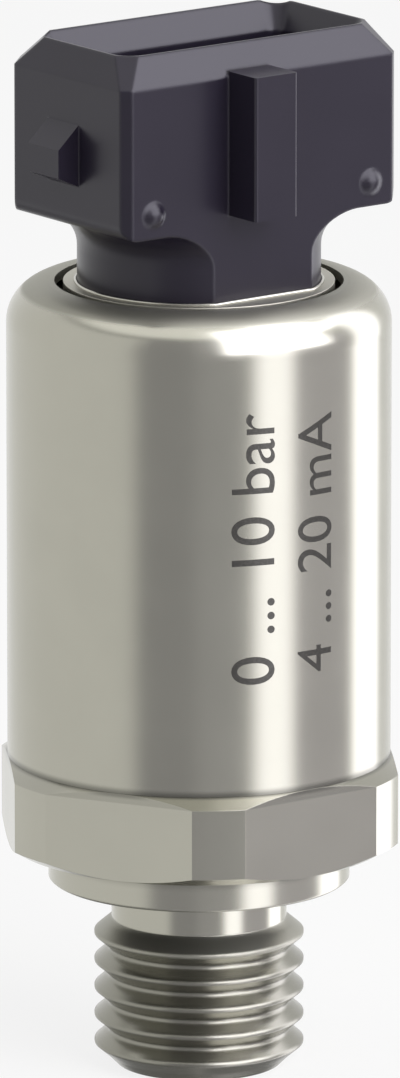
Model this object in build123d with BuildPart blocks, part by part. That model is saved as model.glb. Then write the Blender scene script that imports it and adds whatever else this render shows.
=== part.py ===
from build123d import *
from math import sqrt
import os

# Pressure transmitter, in millimetres. The origin is the centre of the end face of
# the threaded stud, and +Z runs up the axis to the open plug. The long faces of the
# plug shroud look along Y, and its latch barb looks along -X.

# Threaded stud and sealing collar
thread_major_diameter = 13.157
thread_root_diameter = 11.5
thread_pitch = 1.76
thread_crests = 5
crest_land = 0.15
root_land = 0.20
first_crest_height = 1.34
stud_end_diameter = 10.4
stud_length = 12.0
undercut_diameter = 11.0
collar_diameter = 18.9
collar_height = 2.4
collar_chamfer = 0.1
port_bore_diameter = 3.0
port_bore_chamfer = 0.5

# Hexagon for the spanner, turned a little against the plug as it was screwed together
hex_corner_proud = 1.0
hex_turn = -1.5
hex_height = 5.6
hex_chamfer_drop = 0.6

# Profile seal in the underside of the collar
port_seal_bore_clearance = 0.3
collar_lip = 1.1
port_seal_height = 1.4
port_seal_lip = 0.4
port_seal_proud = 0.2
port_seal_clearance = 0.1

# Deep drawn housing can with its rounded shoulder
can_diameter = 24.0
can_wall = 0.6
can_height = 30.2
shoulder_radius = 2.6
mouth_land = 0.4
can_fit_clearance = 0.05

# Cup in the top of the fitting for the ceramic cell and its ring seal
cup_floor_thickness = 1.5
cup_wall = 2.15
cup_depth = 5.2
cell_seal_section = 1.7
cell_seal_inset = 3.0
cell_seal_clearance = 0.02
cell_stand_off = 0.3

# Ceramic measuring cell
cell_clearance = 0.2
diaphragm_thickness = 0.6
glass_joint_thickness = 0.1
glass_joint_width = 2.6
cell_body_thickness = 5.6
lead_section = 0.5
lead_pitch = 2.0
lead_count = 4
lead_length = 6.2

# Clamping ring over the edge of the cell
clamp_plate_thickness = 1.2
clamp_land = 2.5
clamp_skirt_depth = 1.1
stack_clearance = 0.3

# Board carrier with two slotted posts
carrier_base_thickness = 2.0
post_inset = 0.8
post_thickness = 2.2
post_depth = 4.4
slot_depth = 0.8
slot_clearance = 0.05

# Signal board and its components
board_thickness = 1.0
board_edge_clearance = 0.1
board_head_room = 0.9
chip_side = 4.0
chip_thickness = 0.9
chip_height_on_board = 3.6
capacitor_length = 1.6
capacitor_width = 0.8
capacitor_pitch = 1.5
capacitor_to_post = 2.3
capacitors_in_column = 3
diode_length = 2.8
diode_width = 1.7
diode_thickness = 1.1
diode_to_post = 1.5
diode_height_on_board = 7.2

# Closing ring between the mouth of the can and the neck of the plug
mouth_gap = 0.55
ring_collar_wall = 0.76
ring_flange_width = 1.6
ring_flange_thickness = 0.8
neck_clearance = 0.1

# Plug header: flange inside the can and neck with two flats
header_flange_thickness = 4.4
header_flange_chamfer = 0.5
header_seal_section = 1.4
header_seal_clearance = 0.03
seal_groove_width = 1.9
flare_radius = 2.4
neck_exposed = 4.7

# Plug header: shroud, with larger facets on its two rear corners and a wider rear rim chamfer
shroud_length = 21.2
shroud_width = 13.16
shroud_side_height = 9.45
shroud_bottom_round = 1.0
front_corner_chamfer = 0.55
rear_corner_chamfer = 1.7
rim_chamfer_height = 1.85
rim_end_chamfer = 0.96
rim_front_chamfer = 1.28
rim_rear_chamfer = 1.92
rim_front_corner_chamfer = 1.05
rim_rear_corner_chamfer = 1.6
rim_land = 0.14
lead_in_depth = 1.7
lead_in_side = 1.2
lead_in_end = 0.88
lead_in_corner_radius = 1.4
socket_corner_radius = 0.8
socket_floor_thickness = 1.2

# Plug header: key rib, latch barb and pips
key_left = -2.63
key_width = 3.24
key_reach = 2.71
key_edge_radius = 0.2
key_bottom_gap = 0.8
key_top_rise = 0.38
barb_width = 3.15
barb_offset = -0.2
barb_reach = 1.54
barb_root_height = 2.8
barb_flat_start = 3.48
barb_flat_height = 1.77
barb_ramp_height = 1.4
pip_diameter = 1.5
pip_reach = 0.5
pip_foot_radius = 0.3
pip_offset = 8.4
pip_height = 1.5

# Contact blades in the header
pin_count = 3
anchor_cover = 1.09
blade_width = 1.5
blade_thickness = 0.8
blade_tip_chamfer = 0.4
blade_exposed = 5.4
anchor_width = 2.4
anchor_height = 1.5
anchor_below_floor = 3.0
tail_width = 1.0
tail_length = 4.6
sealant_margin = 1.1
sealant_width = 5.2
sealant_depth = 1.5
solder_width = 2.0
solder_height = 2.4
solder_thickness = 0.5

# Heights along the axis
hex_bottom = stud_length + collar_height
hex_top = hex_bottom + hex_height
can_rim = hex_top + can_height
shoulder_base = can_rim - shoulder_radius
cup_floor = hex_top + cup_floor_thickness
cell_base = cup_floor + cell_stand_off
glass_base = cell_base + diaphragm_thickness
body_base = glass_base + glass_joint_thickness
cell_top = body_base + cell_body_thickness
clamp_top = cell_top + clamp_plate_thickness
carrier_base_top = clamp_top + carrier_base_thickness
shroud_bottom = can_rim + neck_exposed
shroud_shoulder = shroud_bottom + shroud_side_height
rim_top = shroud_shoulder + rim_chamfer_height
socket_floor = shroud_bottom + socket_floor_thickness

# The can is as wide as the hexagon, so it runs flush into the flats
hex_across_flats = can_diameter

# Radii and half widths
collar_radius = collar_diameter / 2
can_radius = can_diameter / 2
can_inner_radius = can_radius - can_wall
shoulder_centre = can_radius - shoulder_radius
mouth_radius = shoulder_centre - mouth_land
inner_shoulder_radius = shoulder_radius - can_wall
hex_corner_radius = hex_across_flats / 2 + hex_corner_proud
stack_radius = can_inner_radius - stack_clearance
cell_radius = can_inner_radius - can_fit_clearance - cup_wall - cell_clearance
cell_seal_mean_radius = cell_radius - cell_seal_inset
clamp_opening_radius = cell_radius - clamp_land
post_outer_reach = stack_radius - post_inset
post_inner_reach = post_outer_reach - post_thickness
ring_collar_radius = mouth_radius - mouth_gap
neck_radius = ring_collar_radius - ring_collar_wall - neck_clearance
half_length = shroud_length / 2
half_width = shroud_width / 2
pin_pitch = 2 * (neck_radius - anchor_cover - anchor_width / 2) / (pin_count - 1)
sealant_length = (pin_count - 1) * pin_pitch + anchor_width + 2 * sealant_margin

# The closing ring's flange stays under the curve of the can's shoulder
flange_reach = mouth_radius + ring_flange_width
shoulder_underside = shoulder_base + sqrt(inner_shoulder_radius**2 - (flange_reach - shoulder_centre) ** 2)
ring_flange_top = shoulder_underside - stack_clearance
header_flange_top = ring_flange_top - ring_flange_thickness
header_flange_bottom = header_flange_top - header_flange_thickness

# Points of the stud's outline: end chamfer, thread ridges, undercut, seal groove, collar
ridge_foot = (thread_pitch - root_land) / 2
root_radius = thread_root_diameter / 2
crest_radius = thread_major_diameter / 2
undercut_radius = undercut_diameter / 2
groove_roof = stud_length + port_seal_height - port_seal_proud
groove_radius = collar_radius - collar_lip
port_seal_inner_radius = undercut_radius + port_seal_bore_clearance
port_seal_outer_radius = groove_radius - port_seal_clearance
stud_outline = [(0, 0), (stud_end_diameter / 2, 0)]
for crest in range(thread_crests):
    middle = first_crest_height + crest * thread_pitch
    stud_outline += [
        (root_radius, middle - ridge_foot),
        (crest_radius, middle - crest_land / 2),
        (crest_radius, middle + crest_land / 2),
        (root_radius, middle + ridge_foot),
    ]
thread_end = first_crest_height + (thread_crests - 1) * thread_pitch + ridge_foot
stud_outline += [
    (undercut_radius, thread_end + root_radius - undercut_radius),
    (undercut_radius, groove_roof),
    (groove_radius, groove_roof),
    (groove_radius, stud_length),
    (collar_radius - collar_chamfer, stud_length),
    (collar_radius, stud_length + collar_chamfer),
    (collar_radius, hex_bottom),
    (0, hex_bottom),
]

# Process fitting: hexagon turned to a corner cylinder, stud, spigot, cell cup and port bore
cell_seal_groove_depth = cell_seal_section + 2 * cell_seal_clearance - cell_stand_off
cell_seal_inner_radius = cell_seal_mean_radius - cell_seal_section / 2 - cell_seal_clearance
cell_seal_outer_radius = cell_seal_mean_radius + cell_seal_section / 2 + cell_seal_clearance
with BuildPart() as process_fitting:
    with BuildSketch(Plane.XY.offset(hex_bottom)):
        RegularPolygon(hex_across_flats / 2, 6, major_radius=False, rotation=hex_turn)
    extrude(amount=hex_height)
    with BuildSketch(Plane.XZ):
        with BuildLine():
            Polyline(
                (0, hex_bottom),
                (hex_across_flats / 2, hex_bottom),
                (hex_corner_radius, hex_bottom + hex_chamfer_drop),
                (hex_corner_radius, hex_top - hex_chamfer_drop),
                (hex_across_flats / 2, hex_top),
                (0, hex_top),
                close=True,
            )
        make_face()
    revolve(axis=Axis.Z, mode=Mode.INTERSECT)
    with BuildSketch(Plane.XZ):
        with BuildLine():
            Polyline(*stud_outline, close=True)
        make_face()
    revolve(axis=Axis.Z)
    with BuildSketch(Plane.XY.offset(hex_top)):
        Circle(can_inner_radius - can_fit_clearance)
    extrude(amount=cup_floor_thickness + cup_depth)
    with BuildSketch(Plane.XY.offset(cup_floor)):
        Circle(cell_radius + cell_clearance)
    extrude(amount=cup_depth, mode=Mode.SUBTRACT)
    with BuildSketch(Plane.XY.offset(cup_floor)):
        Circle(cell_seal_outer_radius)
        Circle(cell_seal_inner_radius, mode=Mode.SUBTRACT)
    extrude(amount=-cell_seal_groove_depth, mode=Mode.SUBTRACT)
    with BuildSketch(Plane.XY):
        Circle(port_bore_diameter / 2)
    extrude(amount=cup_floor, mode=Mode.SUBTRACT)
    port_mouth = process_fitting.edges().filter_by(GeomType.CIRCLE).group_by(Axis.Z)[0].sort_by(SortBy.RADIUS)[0]
    chamfer(port_mouth, port_bore_chamfer)
process_fitting.part.label = "process_fitting"

# Profile seal: a flat ring whose inner edge has a raised lip at the sealing side
seal_bottom = stud_length - port_seal_proud
with BuildPart() as port_seal:
    with BuildSketch(Plane.XZ):
        with BuildLine():
            Polyline(
                (port_seal_inner_radius, seal_bottom + port_seal_lip),
                (port_seal_inner_radius + port_seal_lip, seal_bottom),
                (port_seal_outer_radius - port_seal_lip, seal_bottom),
                (port_seal_outer_radius, seal_bottom + port_seal_lip),
                (port_seal_outer_radius, groove_roof),
                (port_seal_inner_radius, groove_roof),
                close=True,
            )
        make_face()
    revolve(axis=Axis.Z)
port_seal.part.label = "port_seal"

# Housing can: one drawn shell whose shoulder curves straight into the open mouth
with BuildPart() as housing_can:
    with BuildSketch(Plane.XZ):
        with BuildLine():
            Line((can_inner_radius, hex_top), (can_radius, hex_top))
            Line((can_radius, hex_top), (can_radius, shoulder_base))
            CenterArc((shoulder_centre, shoulder_base), shoulder_radius, 0, 90)
            Line((shoulder_centre, can_rim), (mouth_radius, can_rim))
            Line((mouth_radius, can_rim), (mouth_radius, can_rim - can_wall))
            Line((mouth_radius, can_rim - can_wall), (shoulder_centre, can_rim - can_wall))
            CenterArc((shoulder_centre, shoulder_base), inner_shoulder_radius, 0, 90)
            Line((can_inner_radius, shoulder_base), (can_inner_radius, hex_top))
        make_face()
    revolve(axis=Axis.Z)
housing_can.part.label = "housing_can"

# Cell seal: ring between the cup floor and the diaphragm's edge
with BuildPart() as cell_seal:
    with BuildSketch(Plane.XZ):
        with Locations((cell_seal_mean_radius, cell_base - cell_seal_clearance - cell_seal_section / 2)):
            Circle(cell_seal_section / 2)
    revolve(axis=Axis.Z)
cell_seal.part.label = "cell_seal"

# Ceramic cell: thin diaphragm, glass joint round its edge, and the thick body
with BuildPart() as cell_diaphragm:
    with BuildSketch(Plane.XY.offset(cell_base)):
        Circle(cell_radius)
    extrude(amount=diaphragm_thickness)
cell_diaphragm.part.label = "cell_diaphragm"

with BuildPart() as cell_glass_joint:
    with BuildSketch(Plane.XY.offset(glass_base)):
        Circle(cell_radius)
        Circle(cell_radius - glass_joint_width, mode=Mode.SUBTRACT)
    extrude(amount=glass_joint_thickness)
cell_glass_joint.part.label = "cell_glass_joint"

with BuildPart() as cell_body:
    with BuildSketch(Plane.XY.offset(body_base)):
        Circle(cell_radius)
    extrude(amount=cell_body_thickness)
cell_body.part.label = "cell_body"

# Clamping ring: plate on the cell's edge with a skirt that centres it
with BuildPart() as cell_clamp_ring:
    with BuildSketch(Plane.XZ):
        with BuildLine():
            Polyline(
                (clamp_opening_radius, cell_top),
                (cell_radius + cell_clearance, cell_top),
                (cell_radius + cell_clearance, cell_top - clamp_skirt_depth),
                (stack_radius, cell_top - clamp_skirt_depth),
                (stack_radius, clamp_top),
                (clamp_opening_radius, clamp_top),
                close=True,
            )
        make_face()
    revolve(axis=Axis.Z)
cell_clamp_ring.part.label = "cell_clamp_ring"

# Board plane: the tails of the contact blades lie on the board's front face
board_front = blade_thickness / 2
board_back = board_front + board_thickness
board_middle = (board_front + board_back) / 2
slot_reach = post_inner_reach + slot_depth

# Board carrier: base ring and two posts that hold the board's edges up to the header
with BuildPart() as board_carrier:
    with BuildSketch(Plane.XY.offset(clamp_top)):
        Circle(stack_radius)
        Circle(clamp_opening_radius, mode=Mode.SUBTRACT)
    extrude(amount=carrier_base_thickness)
    with BuildSketch(Plane.XY.offset(carrier_base_top)):
        for side in (-1, 1):
            with Locations((side * (post_inner_reach + post_outer_reach) / 2, board_middle)):
                Rectangle(post_outer_reach - post_inner_reach, post_depth)
            with Locations((side * (post_inner_reach + slot_reach) / 2, board_middle)):
                Rectangle(slot_depth, board_thickness + 2 * slot_clearance, mode=Mode.SUBTRACT)
    extrude(amount=header_flange_bottom - carrier_base_top)
board_carrier.part.label = "board_carrier"

# Signal board standing in the slots of the carrier
board_half_width = slot_reach - board_edge_clearance
board_top = header_flange_bottom - board_head_room
with BuildPart() as signal_board:
    with BuildSketch(Plane.XY.offset(carrier_base_top)):
        with Locations((0, board_middle)):
            Rectangle(2 * board_half_width, board_thickness)
    extrude(amount=board_top - carrier_base_top)
signal_board.part.label = "signal_board"

# Cell leads: a row of square wires from the cell up the back of the board
with BuildPart() as cell_leads:
    with BuildSketch(Plane.XY.offset(cell_top)):
        with Locations((0, board_back + lead_section / 2)):
            with GridLocations(lead_pitch, 0, lead_count, 1):
                Rectangle(lead_section, lead_section)
    extrude(amount=lead_length)
cell_leads.part.label = "cell_leads"

# Components soldered flat on the board
capacitor_offset = post_inner_reach - capacitor_to_post - capacitor_length / 2
diode_offset = post_inner_reach - diode_to_post - diode_length / 2
board_face = Plane.XZ.offset(-board_front)
board_rear_face = Plane.XZ.offset(-board_back)
with BuildPart() as signal_chip:
    with BuildSketch(board_face):
        with Locations((0, carrier_base_top + chip_height_on_board)):
            Rectangle(chip_side, chip_side)
    extrude(amount=chip_thickness)
signal_chip.part.label = "signal_chip"

with BuildPart() as board_capacitors:
    with BuildSketch(board_face):
        with Locations((0, carrier_base_top + chip_height_on_board)):
            with GridLocations(2 * capacitor_offset, capacitor_pitch, 2, capacitors_in_column):
                Rectangle(capacitor_length, capacitor_width)
    extrude(amount=capacitor_width)
board_capacitors.part.label = "board_capacitors"

with BuildPart() as protection_diodes:
    with BuildSketch(board_rear_face):
        with Locations((0, carrier_base_top + diode_height_on_board)):
            with GridLocations(2 * diode_offset, 0, 2, 1):
                Rectangle(diode_length, diode_width)
    extrude(amount=-diode_thickness)
protection_diodes.part.label = "protection_diodes"

# Closing ring: flange under the can's shoulder and a collar up through its mouth,
# with an opening shaped like the neck of the header
with BuildPart() as closing_ring:
    with BuildSketch(Plane.XY.offset(header_flange_top)):
        Circle(flange_reach)
    extrude(amount=ring_flange_thickness)
    with BuildSketch(Plane.XY.offset(ring_flange_top)):
        Circle(ring_collar_radius)
    extrude(amount=can_rim - ring_flange_top)
    with BuildSketch(Plane.XY.offset(header_flange_top)):
        Circle(neck_radius + neck_clearance)
        Rectangle(2 * can_radius, shroud_width + 2 * neck_clearance, mode=Mode.INTERSECT)
    extrude(amount=can_rim - header_flange_top, mode=Mode.SUBTRACT)
closing_ring.part.label = "closing_ring"

# Contact blades: tip in the socket, anchor inside the moulding, tail on the board
blade_tip = socket_floor + blade_exposed
anchor_top = socket_floor - anchor_below_floor
tail_end = header_flange_bottom - tail_length
contact_pins = []
for index in range(pin_count):
    middle = (index - (pin_count - 1) / 2) * pin_pitch
    with BuildPart() as contact_pin:
        with BuildSketch(Plane.XZ):
            with BuildLine():
                Polyline(
                    (middle - tail_width / 2, tail_end),
                    (middle + tail_width / 2, tail_end),
                    (middle + tail_width / 2, header_flange_bottom),
                    (middle + blade_width / 2, header_flange_bottom),
                    (middle + blade_width / 2, anchor_top - anchor_height),
                    (middle + anchor_width / 2, anchor_top - anchor_height),
                    (middle + anchor_width / 2, anchor_top),
                    (middle + blade_width / 2, anchor_top),
                    (middle + blade_width / 2, blade_tip - blade_tip_chamfer),
                    (middle + blade_width / 2 - blade_tip_chamfer, blade_tip),
                    (middle - blade_width / 2 + blade_tip_chamfer, blade_tip),
                    (middle - blade_width / 2, blade_tip - blade_tip_chamfer),
                    (middle - blade_width / 2, anchor_top),
                    (middle - anchor_width / 2, anchor_top),
                    (middle - anchor_width / 2, anchor_top - anchor_height),
                    (middle - blade_width / 2, anchor_top - anchor_height),
                    (middle - blade_width / 2, header_flange_bottom),
                    (middle - tail_width / 2, header_flange_bottom),
                    close=True,
                )
            make_face()
        extrude(amount=blade_thickness / 2, both=True)
    contact_pin.part.label = f"contact_pin_{index + 1}"
    contact_pins.append(contact_pin.part)

# Solder on the board round each tail
with BuildPart() as pin_solder:
    with BuildSketch(board_face):
        with Locations((0, board_top - solder_height / 2)):
            with GridLocations(pin_pitch, 0, pin_count, 1):
                Rectangle(solder_width, solder_height)
    extrude(amount=solder_thickness)
    for pin in contact_pins:
        add(pin, mode=Mode.SUBTRACT)
pin_solder.part.label = "pin_solder"

# Sealant poured into the pocket under the header, round the blades
sealant_top = header_flange_bottom + sealant_depth
with BuildPart() as pin_sealant:
    with BuildSketch(Plane.XY.offset(header_flange_bottom)):
        Rectangle(sealant_length, sealant_width)
    extrude(amount=sealant_depth)
    for pin in contact_pins:
        add(pin, mode=Mode.SUBTRACT)
pin_sealant.part.label = "pin_sealant"

# Plug header: shroud with a chamfered rim, then the neck that flares into its underside.
# One front outline trims both, so the neck gets flats in line with the long faces.
header_flange_radius = can_inner_radius - can_wall / 2
seal_groove_radius = can_inner_radius - header_seal_section - 2 * header_seal_clearance
seal_middle = (header_flange_top + header_flange_bottom) / 2
flare_base = shroud_bottom - flare_radius
round_start = half_length - shroud_bottom_round


def faceted_outline(reach, front, rear, front_facet, rear_facet):
    """Corner points of a rectangle with one facet size on its front and one on its rear corners."""
    return [
        (front_facet - reach, -front),
        (reach - front_facet, -front),
        (reach, front_facet - front),
        (reach, rear - rear_facet),
        (reach - rear_facet, rear),
        (rear_facet - reach, rear),
        (-reach, rear - rear_facet),
        (-reach, front_facet - front),
    ]


side_outline = faceted_outline(half_length, half_width, half_width, front_corner_chamfer, rear_corner_chamfer)
rim_outline = faceted_outline(
    half_length - rim_end_chamfer,
    half_width - rim_front_chamfer,
    half_width - rim_rear_chamfer,
    rim_front_corner_chamfer,
    rim_rear_corner_chamfer,
)
funnel_reach = half_length - rim_end_chamfer - rim_land
funnel_front = half_width - rim_front_chamfer - rim_land
funnel_rear = half_width - rim_rear_chamfer - rim_land
funnel_end = rim_top - lead_in_depth
socket_reach = funnel_reach - lead_in_end
socket_front = funnel_front - lead_in_side
socket_rear = funnel_rear - lead_in_side
with BuildPart() as connector_header:
    with BuildSketch(Plane.XY.offset(shroud_bottom)):
        with BuildLine():
            Polyline(*side_outline, close=True)
        make_face()
    extrude(amount=shroud_side_height)
    with BuildSketch(Plane.XY.offset(shroud_shoulder)):
        with BuildLine():
            Polyline(*side_outline, close=True)
        make_face()
    with BuildSketch(Plane.XY.offset(rim_top)):
        with BuildLine():
            Polyline(*rim_outline, close=True)
        make_face()
    loft(ruled=True)
    with BuildSketch(Plane.XZ):
        with BuildLine():
            Line((0, header_flange_top), (neck_radius, header_flange_top))
            Line((neck_radius, header_flange_top), (neck_radius, flare_base))
            CenterArc((neck_radius + flare_radius, flare_base), flare_radius, 90, 90)
            Line((neck_radius + flare_radius, shroud_bottom), (0, shroud_bottom))
            Line((0, shroud_bottom), (0, header_flange_top))
        make_face()
    revolve(axis=Axis.Z)
    with BuildSketch(Plane.XZ):
        with BuildLine():
            Line((-round_start, header_flange_top), (round_start, header_flange_top))
            Line((round_start, header_flange_top), (round_start, shroud_bottom))
            CenterArc((round_start, shroud_bottom + shroud_bottom_round), shroud_bottom_round, -90, 90)
            Line((half_length, shroud_bottom + shroud_bottom_round), (half_length, rim_top))
            Line((half_length, rim_top), (-half_length, rim_top))
            Line((-half_length, rim_top), (-half_length, shroud_bottom + shroud_bottom_round))
            CenterArc((-round_start, shroud_bottom + shroud_bottom_round), shroud_bottom_round, 180, 90)
            Line((-round_start, shroud_bottom), (-round_start, header_flange_top))
        make_face()
    extrude(amount=half_width, both=True, mode=Mode.INTERSECT)
    # Socket for the mating plug, with a lead in that slopes all the way to the rim
    with BuildSketch(Plane.XY.offset(socket_floor)):
        with Locations((0, (socket_rear - socket_front) / 2)):
            RectangleRounded(2 * socket_reach, socket_front + socket_rear, socket_corner_radius)
    extrude(amount=rim_top - socket_floor, mode=Mode.SUBTRACT)
    with BuildSketch(Plane.XY.offset(funnel_end)):
        with Locations((0, (socket_rear - socket_front) / 2)):
            RectangleRounded(2 * socket_reach, socket_front + socket_rear, socket_corner_radius)
    with BuildSketch(Plane.XY.offset(rim_top)):
        with Locations((0, (funnel_rear - funnel_front) / 2)):
            RectangleRounded(2 * funnel_reach, funnel_front + funnel_rear, lead_in_corner_radius)
    loft(ruled=True, mode=Mode.SUBTRACT)
    # Key rib on the front face
    key_bottom = shroud_bottom + key_bottom_gap
    key_top = shroud_shoulder + key_top_rise
    with BuildSketch(Plane.XZ.offset(half_width - rim_front_chamfer)):
        with Locations((key_left + key_width / 2, (key_bottom + key_top) / 2)):
            Rectangle(key_width, key_top - key_bottom)
    extrude(amount=rim_front_chamfer + key_reach)
    key_edges = connector_header.faces().sort_by(Axis.Y)[0].edges().filter_by(Axis.Z)
    fillet(key_edges, key_edge_radius)
    # Latch barb on the short face: sloped lead in, short flat and catch
    barb_base = shroud_bottom + barb_root_height
    barb_flat = shroud_bottom + barb_flat_start
    with BuildSketch(Plane.XZ.offset(-barb_offset)):
        with BuildLine():
            Polyline(
                (-half_length, barb_base),
                (-half_length - barb_reach, barb_flat),
                (-half_length - barb_reach, barb_flat + barb_flat_height),
                (-half_length, barb_flat + barb_flat_height + barb_ramp_height),
                close=True,
            )
        make_face()
    extrude(amount=barb_width / 2, both=True)
    # Pips near the lower corners of the front face
    pip_sphere_radius = (pip_diameter**2 / 4 + pip_reach**2) / (2 * pip_reach)
    for side in (-1, 1):
        with Locations((side * pip_offset, pip_sphere_radius - pip_reach - half_width, shroud_bottom + pip_height)):
            Sphere(pip_sphere_radius)
    pip_feet = connector_header.edges().filter_by(GeomType.CIRCLE).sort_by(SortBy.RADIUS)
    pip_feet = pip_feet.filter_by(lambda edge: abs(edge.radius - pip_diameter / 2) < 0.001 and edge.center().Y < 0)
    fillet(pip_feet, pip_foot_radius)
    # Flange inside the can with a groove for the ring seal
    with BuildSketch(Plane.XY.offset(header_flange_bottom)):
        Circle(header_flange_radius)
    extrude(amount=header_flange_thickness)
    flange_rim = connector_header.edges().filter_by(GeomType.CIRCLE).sort_by(SortBy.RADIUS)[-2:].sort_by(Axis.Z)[-1]
    chamfer(flange_rim, header_flange_chamfer)
    with BuildSketch(Plane.XY.offset(seal_middle - seal_groove_width / 2)):
        Circle(can_radius)
        Circle(seal_groove_radius, mode=Mode.SUBTRACT)
    extrude(amount=seal_groove_width, mode=Mode.SUBTRACT)
    # Pocket for the sealant, and the blades moulded in
    with BuildSketch(Plane.XY.offset(header_flange_bottom)):
        Rectangle(sealant_length, sealant_width)
    extrude(amount=sealant_depth, mode=Mode.SUBTRACT)
    for pin in contact_pins:
        add(pin, mode=Mode.SUBTRACT)
connector_header.part.label = "connector_header"

# Header seal: ring in the flange's groove against the wall of the can
with BuildPart() as header_seal:
    with BuildSketch(Plane.XZ):
        with Locations((can_inner_radius - header_seal_clearance - header_seal_section / 2, seal_middle)):
            Circle(header_seal_section / 2)
    revolve(axis=Axis.Z)
header_seal.part.label = "header_seal"

os.makedirs("parts", exist_ok=True)
pieces = [
    process_fitting.part,
    port_seal.part,
    housing_can.part,
    cell_seal.part,
    cell_diaphragm.part,
    cell_glass_joint.part,
    cell_body.part,
    cell_clamp_ring.part,
    board_carrier.part,
    signal_board.part,
    cell_leads.part,
    signal_chip.part,
    board_capacitors.part,
    protection_diodes.part,
    closing_ring.part,
    pin_solder.part,
    pin_sealant.part,
    connector_header.part,
    header_seal.part,
]
for piece in pieces + contact_pins:
    export_step(piece, f"parts/{piece.label}.step")
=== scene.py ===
"""Looks of a pressure transmitter: threaded steel stud, round can and moulded plug header.

They are built round the part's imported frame.
"""

import logging
import math
from dataclasses import dataclass
from enum import Enum
from typing import Union

import bmesh
import bpy
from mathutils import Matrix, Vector


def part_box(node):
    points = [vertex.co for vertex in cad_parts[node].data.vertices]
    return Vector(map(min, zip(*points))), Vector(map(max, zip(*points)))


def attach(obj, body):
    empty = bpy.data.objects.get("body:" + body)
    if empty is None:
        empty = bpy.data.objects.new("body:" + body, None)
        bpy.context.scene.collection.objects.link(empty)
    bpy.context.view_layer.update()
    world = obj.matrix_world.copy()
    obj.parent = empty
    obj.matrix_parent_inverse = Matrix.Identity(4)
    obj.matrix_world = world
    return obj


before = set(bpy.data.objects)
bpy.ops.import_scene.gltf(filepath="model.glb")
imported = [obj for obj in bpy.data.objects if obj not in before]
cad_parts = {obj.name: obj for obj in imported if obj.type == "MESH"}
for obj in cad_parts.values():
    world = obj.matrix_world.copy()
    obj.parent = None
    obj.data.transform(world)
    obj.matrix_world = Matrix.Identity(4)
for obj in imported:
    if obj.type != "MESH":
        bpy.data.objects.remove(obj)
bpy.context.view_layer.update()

MM = 0.001
BODY = "root"
log = logging.getLogger("transmitter")

Colour = tuple[float, float, float]
Number = Union[int, float]

UP = Vector((0.0, 0.0, 1.0))
PLAIN_WHITE: Colour = (1.0, 1.0, 1.0)
BEVEL_SAMPLES = 8

# Numbers of the sockets of Texture Coordinate, Light Path and Mix
GENERATED, OBJECT_PLACE = 0, 3
CAMERA_RAY, GLOSSY_RAY, TRANSMISSION_RAY = 0, 3, 6
MIX_FACTOR, MIX_FIRST, MIX_SECOND, MIX_RESULT = 0, 6, 7, 2


def box_mm(node: str) -> tuple[Vector, Vector]:
    """Lowest and highest corners of a node of the frame, in millimetres."""
    low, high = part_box(node)
    return Vector(low) / MM, Vector(high) / MM


CAN_LOW, CAN_HIGH = box_mm("housing_can")
HEADER_LOW = box_mm("connector_header")[0]

# Sizes in millimetres that the boxes of the nodes don't give
HEADER_HALF_WIDTH = 6.58
HEADER_HALF_LENGTH = 10.6
HEX_HEIGHT = 5.6
COLLAR_HEIGHT = 2.4
COLLAR_RADIUS = 9.45
THREAD_TOP = 9.3
THREAD_RADIUS = 6.6
MOUTH_RADIUS = 10.9
HEX_LOW = CAN_LOW.z - HEX_HEIGHT
COLLAR_LOW = HEX_LOW - COLLAR_HEIGHT


def direction(azimuth: float, elevation: float) -> Vector:
    """Direction from the part into the room.

    Args:
        azimuth: angle round the axis, counted from -Y towards +X.
        elevation: angle above the level.

    Returns:
        A vector of length 1.
    """
    level = math.cos(elevation)
    return Vector((math.sin(azimuth) * level, -math.cos(azimuth) * level, math.sin(elevation)))


def rgba(colour: Colour) -> tuple[float, float, float, float]:
    """Gives a colour its opaque fourth value."""
    return (*colour, 1.0)


class Value:
    """A shader socket that can be used in Python expressions.

    Args:
        tree: the node tree builder that the socket belongs to.
        socket: an output socket.
    """

    def __init__(self, tree: "Tree", socket: bpy.types.NodeSocket) -> None:
        self.tree = tree
        self.socket = socket

    def _math(self, operation: str, first: "Operand", second: "Operand") -> "Value":
        """Adds one Math node.

        Args:
            operation: the node's operation.
            first: its first input.
            second: its second input.

        Returns:
            The result as a value.
        """
        return self.tree.node("ShaderNodeMath", {"operation": operation}, {0: first, 1: second})[0]

    def __add__(self, other: "Operand") -> "Value":
        """self + other."""
        return self._math("ADD", self, other)

    def __radd__(self, other: "Operand") -> "Value":
        """other + self."""
        return self._math("ADD", other, self)

    def __sub__(self, other: "Operand") -> "Value":
        """self - other."""
        return self._math("SUBTRACT", self, other)

    def __rsub__(self, other: "Operand") -> "Value":
        """other - self."""
        return self._math("SUBTRACT", other, self)

    def __mul__(self, other: "Operand") -> "Value":
        """self * other."""
        return self._math("MULTIPLY", self, other)

    def __rmul__(self, other: "Operand") -> "Value":
        """other * self."""
        return self._math("MULTIPLY", other, self)

    def __truediv__(self, other: "Operand") -> "Value":
        """self / other."""
        return self._math("DIVIDE", self, other)

    def __rtruediv__(self, other: "Operand") -> "Value":
        """other / self."""
        return self._math("DIVIDE", other, self)

    def smoothstep(self, low: float, high: float) -> "Value":
        """Rises smoothly from 0 at low to 1 at high, or falls where low is the larger.

        Args:
            low: value that gives 0.
            high: value that gives 1.

        Returns:
            The mask.
        """
        sockets: dict = {"Value": self, "From Min": low, "From Max": high}
        return self.tree.node("ShaderNodeMapRange", {"interpolation_type": "SMOOTHSTEP"}, sockets)[0]

    def band(self, low: float, high: float, fade: float) -> "Value":
        """Is 1 from low to high and falls smoothly to 0 on both sides.

        Args:
            low: where the band begins.
            high: where it ends.
            fade: how far beyond it the mask reaches 0.

        Returns:
            The mask.
        """
        return self.smoothstep(low - fade, low) * self.smoothstep(high + fade, high)


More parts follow.
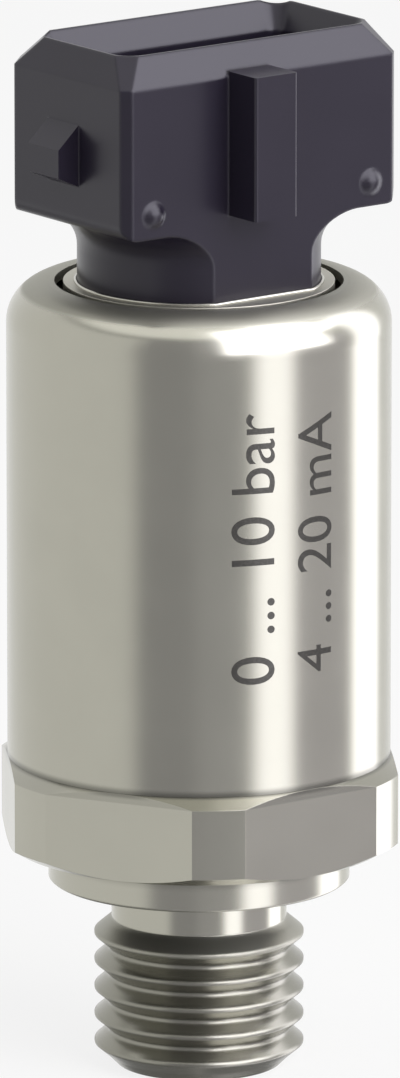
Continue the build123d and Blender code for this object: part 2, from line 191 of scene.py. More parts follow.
Operand = Union[Value, Number]
Triple = Union[Value, Colour]


class Tree:
    """Builds the nodes of a material or of the world.

    Args:
        node_tree: the tree, whose nodes are removed first.
    """

    def __init__(self, node_tree: bpy.types.NodeTree) -> None:
        self.nodes = node_tree.nodes
        self.links = node_tree.links
        self.nodes.clear()

    def node(self, kind: str, settings: dict, sockets: dict) -> list[Value]:
        """Adds any node.

        Args:
            kind: the node's type.
            settings: the node's own properties, set first.
            sockets: input sockets by name or number, each with a number, a tuple or a value to link.

        Returns:
            The node's outputs, in order.
        """
        made = self.nodes.new(kind)
        for name, setting in settings.items():
            setattr(made, name, setting)
        for key, given in sockets.items():
            if isinstance(given, Value):
                self.links.new(given.socket, made.inputs[key])
            else:
                made.inputs[key].default_value = given
        return [Value(self, out) for out in made.outputs]

    def mix_colour(self, factor: Operand, first: Triple, second: Triple) -> Value:
        """Blends two colours.

        Args:
            factor: 0 for the first, 1 for the second.
            first: colour or value.
            second: colour or value.

        Returns:
            The blended colour.
        """
        ends = [given if isinstance(given, Value) else rgba(given) for given in (first, second)]
        sockets = {MIX_FACTOR: factor, MIX_FIRST: ends[0], MIX_SECOND: ends[1]}
        return self.node("ShaderNodeMix", {"data_type": "RGBA"}, sockets)[MIX_RESULT]

    def vector(self, operation: str, first: Triple, second: Triple = (0.0, 0.0, 0.0)) -> list[Value]:
        """Adds one Vector Math node.

        Args:
            operation: the node's operation.
            first: its first vector.
            second: its second vector, where the operation has one.

        Returns:
            The resulting vector and number.
        """
        return self.node("ShaderNodeVectorMath", {"operation": operation}, {0: first, 1: second})

    def noise(self, place: Value, scale: float, detail: float = 2.0) -> Value:
        """Adds a noise pattern.

        Args:
            place: where on the surface.
            scale: cells in one unit of the place.
            detail: octaves.

        Returns:
            The pattern, from 0 to 1.
        """
        return self.node("ShaderNodeTexNoise", {}, {"Vector": place, "Scale": scale, "Detail": detail})[0]

    def combine(self, x: Operand, y: Operand, z: Operand) -> Value:
        """Makes a vector of three values."""
        return self.node("ShaderNodeCombineXYZ", {}, {0: x, 1: y, 2: z})[0]

    def rays(self) -> tuple[Value, Value]:
        """Tells what kind of ray meets the shader.

        Returns:
            1 for a ray from the camera, and 1 for one that reflects off or passes through a surface.
        """
        ray = self.node("ShaderNodeLightPath", {}, {})
        return ray[CAMERA_RAY], ray[GLOSSY_RAY] + ray[TRANSMISSION_RAY]


class Surface(Tree):
    """Node tree of one material, with the patterns that its finish is made of.

    Args:
        name: the material's name.
    """

    def __init__(self, name: str) -> None:
        self.material = bpy.data.materials.new(name)
        self.material.use_nodes = True
        super().__init__(self.material.node_tree)
        metres = self.node("ShaderNodeTexCoord", {}, {})[OBJECT_PLACE]
        to_mm = {0: metres, "Scale": 1.0 / MM}
        self.place = self.node("ShaderNodeVectorMath", {"operation": "SCALE"}, to_mm)[0]
        self.x, self.y, self.z = self.node("ShaderNodeSeparateXYZ", {}, {0: self.place})

    def radius(self) -> Value:
        """Distance from the part's axis, in millimetres."""
        return self.vector("LENGTH", self.combine(self.x, self.y, 0.0))[1]

    def turning_marks(self, spacing: float) -> Value:
        """Fine rings round the axis, as a lathe or a polishing belt leaves them.

        Args:
            spacing: mean distance between marks, in millimetres.

        Returns:
            The height of the marks, from 0 to 1.
        """
        across = self.combine(self.radius() / spacing, self.z / spacing, 0.0)
        return self.noise(across, scale=1.0, detail=3.0)

    def flow(self) -> tuple[Value, Value]:
        """Broad clouds, as a plastic's flow into its mould leaves them.

        Returns:
            The clouds and a mask of their paler half.
        """
        clouds = self.noise(self.place, scale=0.15)
        return clouds, clouds.smoothstep(0.35, 0.65)

    def ring_zone(self, zone: "Zone") -> Value:
        """Mask of a zone round the axis.

        Args:
            zone: where the zone lies.

        Returns:
            1 inside the zone, fading to 0 around it.
        """
        height = self.z.band(zone.bottom, zone.top, zone.fade)
        return height * self.radius().smoothstep(zone.reach + zone.fade, zone.reach)

    def rounded_edges(self, radius: Operand) -> Value:
        """Normal with softened edges.

        Args:
            radius: edge radius in millimetres.

        Returns:
            The normal.
        """
        return self.node("ShaderNodeBevel", {"samples": BEVEL_SAMPLES}, {"Radius": radius * MM})[0]

    def bump(self, height: Value, depth: float, normal: Value) -> Value:
        """Turns a height pattern into a normal.

        Args:
            height: pattern from 0 to 1.
            depth: height of the pattern in millimetres.
            normal: the normal under it.

        Returns:
            The bumped normal.
        """
        sockets = {"Strength": 1.0, "Distance": depth * MM, "Height": height, "Normal": normal}
        return self.node("ShaderNodeBump", {}, sockets)[0]

    def finish(self, sockets: dict) -> bpy.types.Material:
        """Adds the shader and the output.

        Args:
            sockets: sockets of the Principled shader.

        Returns:
            The finished material.
        """
        shader = self.node("ShaderNodeBsdfPrincipled", {}, sockets)[0]
        self.node("ShaderNodeOutputMaterial", {}, {"Surface": shader})
        return self.material


@dataclass(frozen=True)
class Zone:
    """Zone round the axis where steel looks different, from one height to another and out to a radius:
    painted shade on its tint, more roughness or rounder edges.

    Args:
        bottom: lowest height, in millimetres as the other lengths.
        top: highest height.
        reach: radius of the zone.
        fade: how far outside the zone its effect ends.
        shade: factor on the steel's tint, which paints shade into the zone.
        dulling: roughness that is added.
        added_edge: radius that is added to the softened edges.
    """

    bottom: float
    top: float
    reach: float
    fade: float
    shade: float = 1.0
    dulling: float = 0.0
    added_edge: float = 0.0


@dataclass(frozen=True)
class SteelFinish:
    """Stainless steel with fine marks round the axis, and painted shade in its inner corners and other zones.
    """

    name: str
    tint: Colour
    roughness: float
    mark_spacing: float
    mark_depth: float
    edge_radius: float
    zones: tuple[Zone, ...] = ()
    smudge_scale: float = 0.22
    smudge_shade: float = 0.97
    smudge_roughness: float = 0.04
    mark_roughness: float = 0.03

    def build(self) -> bpy.types.Material:
        """Makes the material."""
        surface = Surface(self.name)
        smudge = surface.noise(surface.place, self.smudge_scale, detail=3.0)
        marks = surface.turning_marks(self.mark_spacing)
        darker = tuple(self.smudge_shade * part for part in self.tint)
        rough = self.roughness + self.smudge_roughness * (smudge - 0.5) + self.mark_roughness * (marks - 0.5)
        colour = surface.mix_colour(smudge.smoothstep(0.3, 0.7), darker, self.tint)
        edge: Operand = self.edge_radius
        for zone in self.zones:
            mask = surface.ring_zone(zone)
            # Painted shade: the zone darkens the tint by its shade factor.
            colour = surface.mix_colour(mask, colour, tuple(zone.shade * part for part in self.tint))
            rough = rough + zone.dulling * mask
            edge = edge + zone.added_edge * mask
        return surface.finish({
            "Base Color": colour,
            "Metallic": 1.0,
            "Roughness": rough,
            "Normal": surface.bump(marks, self.mark_depth, surface.rounded_edges(edge)),
        })


@dataclass(frozen=True)
class MouldedFinish:
    """Moulded plastic or rubber with a fine grain."""

    name: str
    colour: Colour
    roughness: float
    grain_scale: float
    grain_depth: float
    edge_radius: float
    specular: float = 0.5
    paler_by: float = 1.12
    paler_step: float = 0.001
    flow_roughness: float = 0.06
    grain_roughness: float = 0.04

    def build(self) -> bpy.types.Material:
        """Makes the material."""
        surface = Surface(self.name)
        grain = surface.noise(surface.place, self.grain_scale, detail=3.0)
        flow, paler_half = surface.flow()
        paler = tuple(min(1.0, self.paler_by * part + self.paler_step) for part in self.colour)
        cloudy = self.roughness + self.flow_roughness * (flow - 0.5)
        return surface.finish({
            "Base Color": surface.mix_colour(paler_half, self.colour, paler),
            "Roughness": cloudy + self.grain_roughness * (grain - 0.5),
            "Specular IOR Level": self.specular,
            "Normal": surface.bump(grain, self.grain_depth, surface.rounded_edges(self.edge_radius)),
        })


@dataclass(frozen=True)
class Patch:
    """Upright block of space, in millimetres, in which the header's edges differ."""

    x_low: float
    x_high: float
    y_low: float
    y_high: float


@dataclass(frozen=True)
class HeaderFinish:
    """Satin plastic of the plug header.

    Its outer edges are soft, those of the key rib and the latch barb crisp, and those of the pips softest.
    """

    name: str
    colour: Colour
    sheen_colour: Colour
    roughness: float
    grain_scale: float
    grain_depth: float
    soft_edge: float
    crisp_edge: float
    specular: float
    crisp_patches: tuple[Patch, ...]
    dome_edge: float
    dome_patches: tuple[Patch, ...]
    patch_fade: float = 0.02
    flow_roughness: float = 0.04
    grain_roughness: float = 0.04

    def _mask(self, surface: Surface, patches: tuple[Patch, ...]) -> Value:
        """Mask of some patches.

        Args:
            surface: the material's surface.
            patches: the patches.

        Returns:
            1 inside a patch and 0 elsewhere.
        """
        mask: Operand = 0.0
        for patch in patches:
            across = surface.x.band(patch.x_low, patch.x_high, self.patch_fade)
            along = surface.y.band(patch.y_low, patch.y_high, self.patch_fade)
            mask = mask + across * along
        return mask

    def build(self) -> bpy.types.Material:
        """Makes the material."""
        surface = Surface(self.name)
        grain = surface.noise(surface.place, self.grain_scale, detail=3.0)
        flow, paler_half = surface.flow()
        cloudy = self.roughness + self.flow_roughness * (flow - 0.5)
        edge = self.soft_edge + (self.crisp_edge - self.soft_edge) * self._mask(surface, self.crisp_patches)
        edge = edge + (self.dome_edge - self.soft_edge) * self._mask(surface, self.dome_patches)
        return surface.finish({
            "Base Color": surface.mix_colour(paler_half, self.colour, self.sheen_colour),
            "Roughness": cloudy + self.grain_roughness * (grain - 0.5),
            "Specular IOR Level": self.specular,
            "Normal": surface.bump(grain, self.grain_depth, surface.rounded_edges(edge)),
        })


@dataclass(frozen=True)
class MineralFinish:
    """Fired ceramic or fused glass, speckled."""

    name: str
    colour: Colour
    speck: Colour
    roughness: float
    coat: float = 0.0
    speck_scale: float = 5.0
    grain_scale: float = 14.0
    grain_depth: float = 0.004
    grain_roughness: float = 0.08
    edge_radius: float = 0.06

    def build(self) -> bpy.types.Material:
        """Makes the material."""
        surface = Surface(self.name)
        specks = surface.noise(surface.place, self.speck_scale, detail=4.0).smoothstep(0.58, 0.72)
        grain = surface.noise(surface.place, self.grain_scale)
        return surface.finish({
            "Base Color": surface.mix_colour(specks, self.colour, self.speck),
            "Roughness": self.roughness + self.grain_roughness * (grain - 0.5),
            "Coat Weight": self.coat,
            "Normal": surface.bump(grain, self.grain_depth, surface.rounded_edges(self.edge_radius)),
        })


@dataclass(frozen=True)
class LaminateFinish:
    """Green board laminate, whose glass weave shows faintly through the lacquer."""

    name: str
    colour: Colour
    weave_colour: Colour
    threads_per_mm: float
    roughness: float = 0.35
    weave_roughness: float = 0.1
    weave_depth: float = 0.004
    edge_radius: float = 0.04

    def build(self) -> bpy.types.Material:
        """Makes the material."""
        surface = Surface(self.name)
        waves = []
        for axis in (surface.x, surface.z):
            angle = axis * (2 * math.pi * self.threads_per_mm)
            waves.append(surface.node("ShaderNodeMath", {"operation": "SINE"}, {0: angle})[0])
        weave = 0.5 + 0.25 * (waves[0] + waves[1])
        return surface.finish({
            "Base Color": surface.mix_colour(weave.smoothstep(0.55, 1.0), self.colour, self.weave_colour),
            "Roughness": self.roughness + self.weave_roughness * (weave - 0.5),
            "Normal": surface.bump(weave, self.weave_depth, surface.rounded_edges(self.edge_radius)),
        })


@dataclass(frozen=True)
class InkFinish:
    """Dark matt annealing left in the steel by a marking laser."""

    name: str
    colour: Colour
    roughness: float
    grain_scale: float = 9.0
    grain_roughness: float = 0.1
    paler_by: float = 1.5
    metallic: float = 0.6

    def build(self) -> bpy.types.Material:
        """Makes the material."""
        surface = Surface(self.name)
        grain = surface.noise(surface.place, self.grain_scale, detail=3.0)
        paler = tuple(self.paler_by * part for part in self.colour)
        return surface.finish({
            "Base Color": surface.mix_colour(grain.smoothstep(0.35, 0.7), self.colour, paler),
            "Metallic": self.metallic,
            "Roughness": self.roughness + self.grain_roughness * (grain - 0.5),
        })


STEEL_TINT: Colour = (0.414, 0.406, 0.345)
CLEAR_OF_FACE = 0.03
BEYOND = 1.0
BEFORE_FRONT = {"y_low": HEADER_LOW.y - BEYOND, "y_high": -HEADER_HALF_WIDTH - CLEAR_OF_FACE}
BEFORE_LATCH = {"x_low": HEADER_LOW.x - BEYOND, "x_high": -HEADER_HALF_LENGTH - CLEAR_OF_FACE}


class Slot(Enum):
    """The finishes of the nodes.

    Their names differ from those of the plain materials that the frame brings.
    """

    TURNED = SteelFinish(
        "turned_steel", tint=STEEL_TINT, roughness=0.18,
        mark_spacing=0.05, mark_depth=0.0006, edge_radius=0.02,
        zones=(
            # The threaded stud, darkened with painted shade for its grooves, and its upper end below the
            # undercut, with a lighter painted shade
            Zone(-1.0, THREAD_TOP, THREAD_RADIUS, fade=0.15, shade=0.62, dulling=0.06, added_edge=0.30),
            Zone(THREAD_TOP - 1.1, THREAD_TOP + 0.1, THREAD_RADIUS, fade=0.1, shade=0.75, dulling=0.14),
            # The collar, and painted shade in the corner above it, under the hexagon
            Zone(COLLAR_LOW, HEX_LOW - 0.1, COLLAR_RADIUS, fade=0.1, dulling=0.02, added_edge=0.15),
            Zone(HEX_LOW - 0.2, HEX_LOW, COLLAR_RADIUS + 0.1, fade=1.0, shade=0.55),
            # The top of the hexagon, with painted shade that darkens it towards the can
            Zone(CAN_LOW.z - 0.55, CAN_LOW.z + 1.0, CAN_HIGH.x + 2.0, fade=0.1, shade=0.8),
            Zone(CAN_LOW.z - 0.1, CAN_LOW.z + 1.0, CAN_HIGH.x, fade=0.25, shade=0.5),
        ),
    )
    DRAWN = SteelFinish(
        "drawn_steel", tint=STEEL_TINT, roughness=0.20,
        mark_spacing=0.07, mark_depth=0.0004, edge_radius=0.05,
        zones=(
            # Painted shade at the can's lower edge, and painted shade on the duller rim of its mouth
            Zone(CAN_LOW.z - 1.0, CAN_LOW.z + 0.05, CAN_HIGH.x + 1.0, fade=0.45, shade=0.45),
            Zone(CAN_HIGH.z - 0.45, CAN_HIGH.z + 1.0, MOUTH_RADIUS, fade=0.45, shade=0.72, dulling=0.27),
        ),
    )
    RING = SteelFinish(
        "satin_ring_steel", tint=(0.418, 0.406, 0.345), roughness=0.42,
        mark_spacing=0.06, mark_depth=0.0010, edge_radius=0.08,
    )
    PLUG = HeaderFinish(
        "header_plastic", colour=(0.0130, 0.0105, 0.0190), sheen_colour=(0.0142, 0.0115, 0.0205),
        roughness=0.30, grain_scale=7.0, grain_depth=0.0012, specular=0.38,
        soft_edge=0.30, crisp_edge=0.0, dome_edge=0.75,
        crisp_patches=(
            Patch(x_low=-3.4, x_high=1.4, **BEFORE_FRONT),
            Patch(y_low=-4.0, y_high=4.0, **BEFORE_LATCH),
        ),
        dome_patches=(
            Patch(x_low=-9.4, x_high=-7.4, **BEFORE_FRONT),
            Patch(x_low=7.4, x_high=9.4, **BEFORE_FRONT),
        ),
    )
    CARRIER = MouldedFinish(
        "carrier_moulding", colour=(0.72, 0.70, 0.64), roughness=0.42,
        grain_scale=6.0, grain_depth=0.004, edge_radius=0.15,
    )
    RUBBER = MouldedFinish(
        "black_rubber", colour=(0.02, 0.02, 0.021), roughness=0.62,
        grain_scale=9.0, grain_depth=0.006, edge_radius=0.06,
    )
    CERAMIC = MineralFinish(
        "fired_alumina", colour=(0.82, 0.81, 0.77), speck=(0.70, 0.69, 0.66), roughness=0.55,
    )
    GLASS = MineralFinish(
        "fused_glass", colour=(0.42, 0.38, 0.30), speck=(0.30, 0.27, 0.22), roughness=0.25, coat=0.5,
    )
    CONTACT = SteelFinish(
        "tin_plate", tint=(0.62, 0.61, 0.58), roughness=0.24,
        mark_spacing=0.09, mark_depth=0.001, edge_radius=0.05,
    )
    SOLDER = SteelFinish(
        "tin_solder", tint=(0.60, 0.60, 0.61), roughness=0.30,
        mark_spacing=0.2, mark_depth=0.004, edge_radius=0.15,
    )
    SEALANT = MouldedFinish(
        "cast_resin", colour=(0.02, 0.02, 0.022), roughness=0.18,
        grain_scale=1.5, grain_depth=0.01, edge_radius=0.1,
    )
    LAMINATE = LaminateFinish(
        "green_laminate", colour=(0.02, 0.12, 0.045), weave_colour=(0.05, 0.20, 0.08), threads_per_mm=2.2,
    )
    CHIP = MouldedFinish(
        "black_epoxy", colour=(0.018, 0.018, 0.018), roughness=0.5,
        grain_scale=8.0, grain_depth=0.004, edge_radius=0.05,
    )
    CAPACITOR = MineralFinish(
        "brown_ceramic", colour=(0.45, 0.32, 0.19), speck=(0.33, 0.23, 0.14), roughness=0.5,
    )
    BEAD = SteelFinish(
        "bead_steel", tint=(0.44, 0.43, 0.38), roughness=0.22,
        mark_spacing=0.05, mark_depth=0.0004, edge_radius=0.02,
    )
    INK = InkFinish("annealed_marking", colour=(0.050, 0.048, 0.043), roughness=0.30)

    def material(self) -> bpy.types.Material:
        """The material, made the first time that it is asked for."""
        return bpy.data.materials.get(self.value.name) or self.value.build()


def dress(node: str, slot: Slot) -> None:
    """Gives a node of the frame its finish.

    Args:
        node: the node's name.
        slot: the material slot.
    """
    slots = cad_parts[node].data.materials
    slots.clear()
    slots.append(slot.material())
    log.info("%s: %s", node, slot.value.name)


def add_piece(name: str, form: bmesh.types.BMesh, finish: Slot) -> None:
    """Turns a built form into a piece that rides with the part.

    Args:
        name: the piece's name.
        form: its shape, in metres, freed afterwards.
        finish: its finish.
    """
    mesh = bpy.data.meshes.new(name)
    form.to_mesh(mesh)
    form.free()
    mesh.materials.append(finish.material())
    piece = bpy.data.objects.new(name, mesh)
    bpy.context.scene.collection.objects.link(piece)
    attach(piece, BODY)
    log.info("%s: %d faces", name, len(mesh.polygons))


@dataclass
class SteelWork:
    """The turned, milled and drawn steel: fitting, can, closing ring and clamp ring."""

    def build(self) -> None:
        """Dresses the steel pieces."""
        dress("process_fitting", Slot.TURNED)
        dress("cell_clamp_ring", Slot.TURNED)
        dress("housing_can", Slot.DRAWN)
        dress("closing_ring", Slot.RING)


@dataclass
class PlugHeader:
    """Moulded plug header with its blades and the sealant poured round them."""

    blades: int = 3

    def build(self) -> None:
        """Dresses the header and what is fixed in it."""
        dress("connector_header", Slot.PLUG)
        dress("pin_sealant", Slot.SEALANT)
        dress("pin_solder", Slot.SOLDER)
        for blade in range(1, self.blades + 1):
            dress(f"contact_pin_{blade}", Slot.CONTACT)


@dataclass
class RingBead:
    """Fine rolled bead that closes the ring's opening round the neck. Sizes are in millimetres."""

    radius: float = 0.11
    lift: float = 0.03
    neck_radius: float = 7.59
    sides: int = 10
    steps: int = 180

    def _neck_outline(self) -> list[Vector]:
        """Outline of the neck, a circle with two flats, in order round the axis."""
        outline = []
        for step in range(self.steps):
            turn = 2 * math.pi * step / self.steps
            sine = abs(math.sin(turn))
            on_flat = self.neck_radius * sine > HEADER_HALF_WIDTH
            reach = HEADER_HALF_WIDTH / sine if on_flat else self.neck_radius
            outline.append(Vector((reach * math.cos(turn), reach * math.sin(turn), 0.0)))
        return outline

    def build(self) -> None:
        """Sweeps a small round section round the neck."""
        outline = self._neck_outline()
        centre_height = CAN_HIGH.z + self.lift
        form = bmesh.new()
        rings = []
        for index, spot in enumerate(outline):
            along = (outline[(index + 1) % len(outline)] - outline[index - 1]).normalized()
            outward = Vector((along.y, -along.x, 0.0))
            if outward.dot(spot) < 0.0:
                outward = -outward
            centre = spot + self.radius * outward + centre_height * UP
            ring = []
            for side in range(self.sides):
                turn = 2 * math.pi * side / self.sides
                offset = self.radius * (math.cos(turn) * outward + math.sin(turn) * UP)
                ring.append(form.verts.new((centre + offset) * MM))
            rings.append(ring)
        for first, second in zip(rings, rings[1:] + rings[:1]):
            for side in range(self.sides):
                after = (side + 1) % self.sides
                form.faces.new((first[side], second[side], second[after], first[after]))
        bmesh.ops.recalc_face_normals(form, faces=form.faces)
        add_piece("ring_bead", form, Slot.BEAD)


@dataclass(frozen=True)
class MarkingLine:
    """One line of the marking, in millimetres, with its bearing in degrees to the right of the camera."""

    name: str
    words: str
    letter_size: float
    bearing: float
    middle_height: float


@dataclass
class RangeMarking:
    """Laser marking of the measuring range and the output signal, read upward along the can.

    Args:
        azimuth: the camera's angle round the part, from which the bearings are counted.
        lines: the lines of words.
        depth: thickness of the letters, in millimetres as the other lengths.
        proud: how far they stand out of the can.
        strip: width of the strips that the letters are bent in.
        weld: distance within which the outline's double corners are joined.
        least_step: distance within which the corners left by the cuts are joined.
        straight: angle in degrees below which neighbouring faces and edges count as one.
    """

    azimuth: float
    lines: tuple[MarkingLine, ...] = (
        MarkingLine("range_marking", "0 ... 10 bar", letter_size=4.0, bearing=17.0, middle_height=35.6),
        MarkingLine("signal_marking", "4 ... 20 mA", letter_size=3.7, bearing=37.5, middle_height=35.6),
    )
    depth: float = 0.03
    proud: float = 0.012
    strip: float = 0.35
    weld: float = 0.0005
    least_step: float = 0.004
    straight: float = 1.0

    def _letters(self, line: MarkingLine) -> bmesh.types.BMesh:
        """Flat letters, cut into narrow strips so that they can follow the can.

        Args:
            line: the line of words.

        Returns:
            The letters, with their reading direction along X and their tops towards Y.
        """
        curve = bpy.data.curves.new(line.name, "FONT")
        curve.body = line.words
        curve.size = line.letter_size
        curve.align_x = "CENTER"
        curve.align_y = "CENTER"
        curve.resolution_u = 6
        curve.extrude = self.depth / 2
        words = bpy.data.objects.new(line.name, curve)
        mesh = bpy.data.meshes.new_from_object(words)
        bpy.data.objects.remove(words)
        bpy.data.curves.remove(curve)
        form = bmesh.new()
        form.from_mesh(mesh)
        bpy.data.meshes.remove(mesh)
        bmesh.ops.remove_doubles(form, verts=form.verts, dist=self.weld)
        limit = math.radians(self.straight)
        bmesh.ops.dissolve_limit(form, angle_limit=limit, verts=form.verts[:], edges=form.edges[:])
        reach = max(abs(vert.co.y) for vert in form.verts)
        cuts = math.ceil(reach / self.strip)
        for cut in range(-cuts, cuts + 1):
            everything = form.verts[:] + form.edges[:] + form.faces[:]
            place = (0.0, cut * self.strip, 0.0)
            bmesh.ops.bisect_plane(form, geom=everything, plane_co=place, plane_no=(0.0, 1.0, 0.0))
        bmesh.ops.remove_doubles(form, verts=form.verts, dist=self.least_step)
        bmesh.ops.triangulate(form, faces=form.faces[:], ngon_method="BEAUTY")
        return form

    def _wrap(self, form: bmesh.types.BMesh, line: MarkingLine) -> None:
        """Lays flat letters round the can.

        Args:
            form: the letters, changed in place.
            line: where the line goes.
        """
        surface = CAN_HIGH.x + self.proud - self.depth / 2
        for vert in form.verts:
            along, tall, out = vert.co
            angle = self.azimuth + math.radians(line.bearing) - tall / CAN_HIGH.x
            radius = surface + out
            height = line.middle_height + along
            vert.co = Vector((math.sin(angle) * radius, -math.cos(angle) * radius, height)) * MM

    def build(self) -> None:
        """Makes the lines of the marking."""
        for line in self.lines:
            form = self._letters(line)
            self._wrap(form, line)
            add_piece(line.name, form, Slot.INK)


@dataclass
class MeasuringCell:
    """Ceramic cell with its glass joint and leads."""

    def build(self) -> None:
        """Dresses the cell."""
        dress("cell_diaphragm", Slot.CERAMIC)
        dress("cell_body", Slot.CERAMIC)
        dress("cell_glass_joint", Slot.GLASS)
        dress("cell_leads", Slot.CONTACT)


@dataclass
class Electronics:
    """Board in its carrier, with the components soldered on it."""

    def build(self) -> None:
        """Dresses the carrier, the board and its components."""
        dress("board_carrier", Slot.CARRIER)
        dress("signal_board", Slot.LAMINATE)
        dress("signal_chip", Slot.CHIP)
        dress("protection_diodes", Slot.CHIP)
        dress("board_capacitors", Slot.CAPACITOR)


@dataclass
class Seals:
    """The three rubber seals."""

    nodes: tuple[str, ...] = ("port_seal", "cell_seal", "header_seal")

    def build(self) -> None:
        """Dresses the seals."""
        for node in self.nodes:
            dress(node, Slot.RUBBER)


@dataclass
class PhotoCamera:
    """Camera at the photograph's viewing angle, in its frame of 400 by 1078 pixels.

    The angles and the distance make the outline of the part fall where it does in the photograph.
    Lengths are in millimetres.
    """

    azimuth: float = math.radians(-36.98)
    elevation: float = math.radians(13.246)
    distance: float = 875.0
    target_height: float = 33.0
    pixels_per_mm: float = 16.02
    target_pixel: tuple[float, float] = (198.98, 548.72)
    image: tuple[int, int] = (400, 1078)
    sensor_height: float = 36.0
    nearest: float = 10.0
    farthest: float = 20000.0

    def back(self) -> Vector:
        """Direction from the part to the camera."""
        return direction(self.azimuth, self.elevation)

    def right(self) -> Vector:
        """Direction to the right in the picture."""
        return Vector((math.cos(self.azimuth), math.sin(self.azimuth), 0.0))

    def build(self) -> None:
        """Makes the camera and puts it in the scene."""
        data = bpy.data.cameras.new("photo_camera")
        data.sensor_fit = "VERTICAL"
        data.sensor_height = self.sensor_height
        data.lens = self.pixels_per_mm * self.distance / self.image[1] * self.sensor_height
        data.clip_start = self.nearest * MM
        data.clip_end = self.farthest * MM
        up = self.back().cross(self.right())
        aside = (self.image[0] / 2 - self.target_pixel[0]) / self.pixels_per_mm
        above = (self.target_pixel[1] - self.image[1] / 2) / self.pixels_per_mm
        aim = Vector((0.0, 0.0, self.target_height)) + aside * self.right() + above * up
        camera = bpy.data.objects.new("photo_camera", data)
        camera.location = (aim + self.distance * self.back()) * MM
        camera.rotation_euler = self.back().to_track_quat("Z", "Y").to_euler()
        bpy.context.scene.collection.objects.link(camera)
        bpy.context.scene.camera = camera
        log.info("camera: lens %.1f mm", data.lens)


@dataclass(frozen=True)
class Panel:
    """One soft panel of the studio's surroundings.

    Args:
        name: what it stands for.
        bearing: angle of its middle, in degrees as the other angles, counted from the camera.
        half_width: angle from its middle to its side.
        low: angle of its lower edge above the level.
        high: angle of its upper edge.
        softness: width of its fading edges.
        level: brightness, where the plain background has 1.
        tint: its colour at level 1.
    """

    name: str
    bearing: float
    half_width: float
    low: float
    high: float
    softness: float
    level: float
    tint: Colour = PLAIN_WHITE

    def colour(self) -> Colour:
        """Level and tint in one."""
        return tuple(self.level * part for part in self.tint)

    def fade(self, edge: float) -> tuple[float, float]:
        """Where the fading begins and ends round one of the panel's edges.

        Args:
            edge: the edge's angle in degrees.

        Returns:
            The smaller and the larger angle in radians.
        """
        half = self.softness / 2
        return math.radians(edge - half), math.radians(edge + half)


NADIR, ZENITH = -90.0, 90.0
COOL_WALL: Colour = (1.0, 0.99, 1.05)
COOL_LIGHT: Colour = (1.0, 0.99, 1.07)
VIOLET_WALL: Colour = (1.02, 0.99, 1.08)


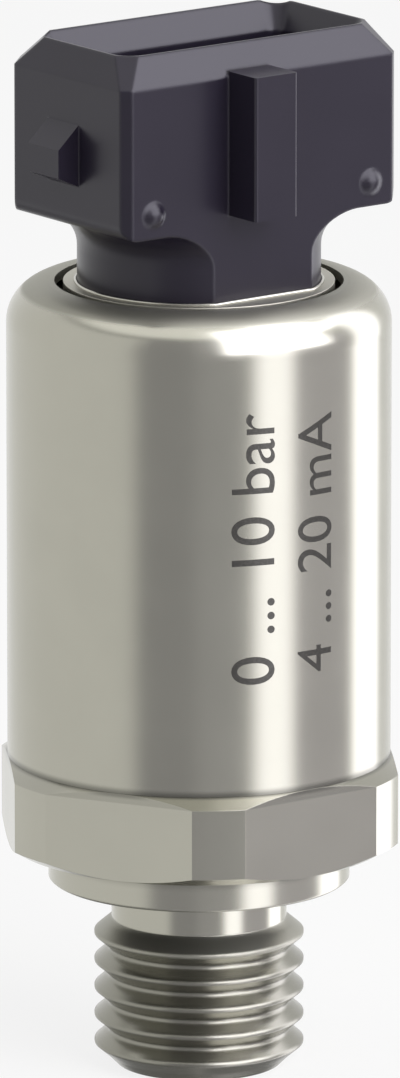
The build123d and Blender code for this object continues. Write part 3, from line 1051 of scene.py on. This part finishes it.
@dataclass
class Studio:
    """Pale floor, white background and soft surroundings, fixed in the room. Lengths are in metres."""

    camera: PhotoCamera
    white: Colour = PLAIN_WHITE
    fill: Colour = (0.42, 0.42, 0.42)
    floor_half_size: float = 1.5
    floor_colour: Colour = (0.93, 0.93, 0.93)
    floor_glow: float = 0.82
    lamp_distance: float = 0.8
    panels: tuple[Panel, ...] = (
        # Name, bearing, half width, lower and upper edge
        Panel("floor", 0.0, 180.0, NADIR, -32.0, softness=14.0, level=0.3),
        Panel("ceiling", 0.0, 180.0, 50.0, ZENITH, softness=8.0, level=1.45),
        Panel("ceiling_edge", -75.0, 62.0, 40.5, 46.5, softness=5.0, level=0.62),
        Panel("front_wall", -13.0, 25.0, NADIR, 46.0, softness=15.0, level=0.47, tint=COOL_WALL),
        Panel("front_corner", 14.0, 16.0, NADIR, 46.0, softness=12.0, level=0.57, tint=COOL_WALL),
        Panel("right_wall", 80.0, 21.0, NADIR, 20.0, softness=8.0, level=0.71, tint=VIOLET_WALL),
        Panel("near_strip", 46.5, 12.0, NADIR, 20.0, softness=11.0, level=2.5, tint=COOL_LIGHT),
        Panel("far_strip", 120.5, 15.0, NADIR, 46.0, softness=7.0, level=3.0, tint=COOL_LIGHT),
        Panel("softbox", 50.0, 34.0, 4.0, 70.0, softness=8.0, level=5.0, tint=COOL_LIGHT),
        Panel("softbox_end", 90.0, 14.0, 32.0, 70.0, softness=8.0, level=5.0, tint=COOL_LIGHT),
    )

    def _surroundings(self, tree: Tree) -> Value:
        """Colour of the surroundings in each direction of the room.

        Args:
            tree: the world's node tree.

        Returns:
            The colour, white where the plain background is seen.
        """
        outward = tree.node("ShaderNodeTexCoord", {}, {})[GENERATED]
        east, north, height = tree.node("ShaderNodeSeparateXYZ", {}, {0: outward})
        level_direction = tree.vector("NORMALIZE", tree.combine(east, north, 0.0))[0]
        elevation = tree.node("ShaderNodeMath", {"operation": "ARCSINE"}, {0: height})[0]
        colour: Triple = self.white
        for panel in self.panels:
            centre = direction(self.camera.azimuth + math.radians(panel.bearing), 0.0)
            nearness = tree.vector("DOT_PRODUCT", level_direction, centre)[1]
            aside = tree.node("ShaderNodeMath", {"operation": "ARCCOSINE"}, {0: nearness})[0]
            side, low, high = (panel.fade(edge) for edge in (panel.half_width, panel.low, panel.high))
            inside = aside.smoothstep(side[1], side[0])
            above = elevation.smoothstep(low[0], low[1])
            below = elevation.smoothstep(high[1], high[0])
            colour = tree.mix_colour(inside * above * below, colour, panel.colour())
            log.info("panel %s: level %.2f", panel.name, panel.level)
        return colour

    def _world(self) -> None:
        """White for the camera, the soft surroundings in reflections and an even fill elsewhere.

        The world isn't sampled as a lamp, because then the kind of the ray would be lost.
        """
        world = bpy.data.worlds.new("studio")
        world.use_nodes = True
        world.cycles.sampling_method = "NONE"
        bpy.context.scene.world = world
        tree = Tree(world.node_tree)
        seen, mirrored = tree.rays()
        lit = tree.mix_colour(mirrored, self.fill, self._surroundings(tree))
        colour = tree.mix_colour(seen, lit, self.white)
        background = tree.node("ShaderNodeBackground", {}, {"Color": colour})[0]
        tree.node("ShaderNodeOutputWorld", {}, {"Surface": background})

    def _floor_material(self) -> bpy.types.Material:
        """Pale floor that holds the part's shadow, glows for the camera and is clear in reflections."""
        material = bpy.data.materials.new("studio_floor")
        material.use_nodes = True
        tree = Tree(material.node_tree)
        seen, mirrored = tree.rays()
        diffuse = tree.node("ShaderNodeBsdfDiffuse", {}, {"Color": rgba(self.floor_colour)})[0]
        glow = tree.node("ShaderNodeEmission", {}, {"Color": rgba(self.white), "Strength": 1.0})[0]
        clear = tree.node("ShaderNodeBsdfTransparent", {}, {})[0]
        lit = tree.node("ShaderNodeMixShader", {}, {0: seen * self.floor_glow, 1: diffuse, 2: glow})[0]
        out = tree.node("ShaderNodeMixShader", {}, {0: mirrored, 1: lit, 2: clear})[0]
        tree.node("ShaderNodeOutputMaterial", {}, {"Surface": out})
        return material

    def _floor(self) -> None:
        """Makes the floor that the stud stands on."""
        mesh = bpy.data.meshes.new("studio_floor")
        form = bmesh.new()
        bmesh.ops.create_grid(form, x_segments=1, y_segments=1, size=self.floor_half_size)
        form.to_mesh(mesh)
        form.free()
        mesh.materials.append(self._floor_material())
        floor = bpy.data.objects.new("studio_floor", mesh)
        bpy.context.scene.collection.objects.link(floor)

    def _lamp(self, name: str, bearing: float, height: float, size: float, power: float) -> None:
        """Adds a large soft lamp that looks at the part.

        Args:
            name: the lamp's name.
            bearing: degrees round the part, from the camera.
            height: degrees above the floor.
            size: side of the lamp in metres.
            power: in watts.
        """
        data = bpy.data.lights.new(name, "AREA")
        data.size = size
        data.energy = power
        lamp = bpy.data.objects.new(name, data)
        towards = direction(self.camera.azimuth + math.radians(bearing), math.radians(height))
        lamp.location = self.lamp_distance * towards
        lamp.rotation_euler = towards.to_track_quat("Z", "Y").to_euler()
        lamp.visible_glossy = False
        bpy.context.scene.collection.objects.link(lamp)

    def build(self) -> None:
        """Makes the world, the floor and the lamps."""
        self._world()
        self._floor()
        self._lamp("key_lamp", bearing=44.0, height=36.0, size=0.6, power=5.0)
        self._lamp("fill_lamp", bearing=-70.0, height=45.0, size=0.7, power=0.3)
        bpy.context.scene.view_settings.view_transform = "Standard"
        log.info("studio: %d panels", len(self.panels))


@dataclass
class Transmitter:
    """The whole part, sub-assembly by sub-assembly.

    Args:
        azimuth: the camera's angle round the part, which the marking is placed by.
    """

    azimuth: float

    def build(self) -> None:
        """Builds each sub-assembly in order."""
        marking = RangeMarking(self.azimuth)
        for part in (SteelWork(), PlugHeader(), MeasuringCell(), Electronics(), Seals(), RingBead(), marking):
            part.build()


def main() -> None:
    """Builds the part, the camera and the studio."""
    logging.basicConfig(level=logging.INFO, format="%(name)s: %(message)s")
    camera = PhotoCamera()
    Transmitter(camera.azimuth).build()
    camera.build()
    Studio(camera).build()


if __name__ == "__main__":
    main()
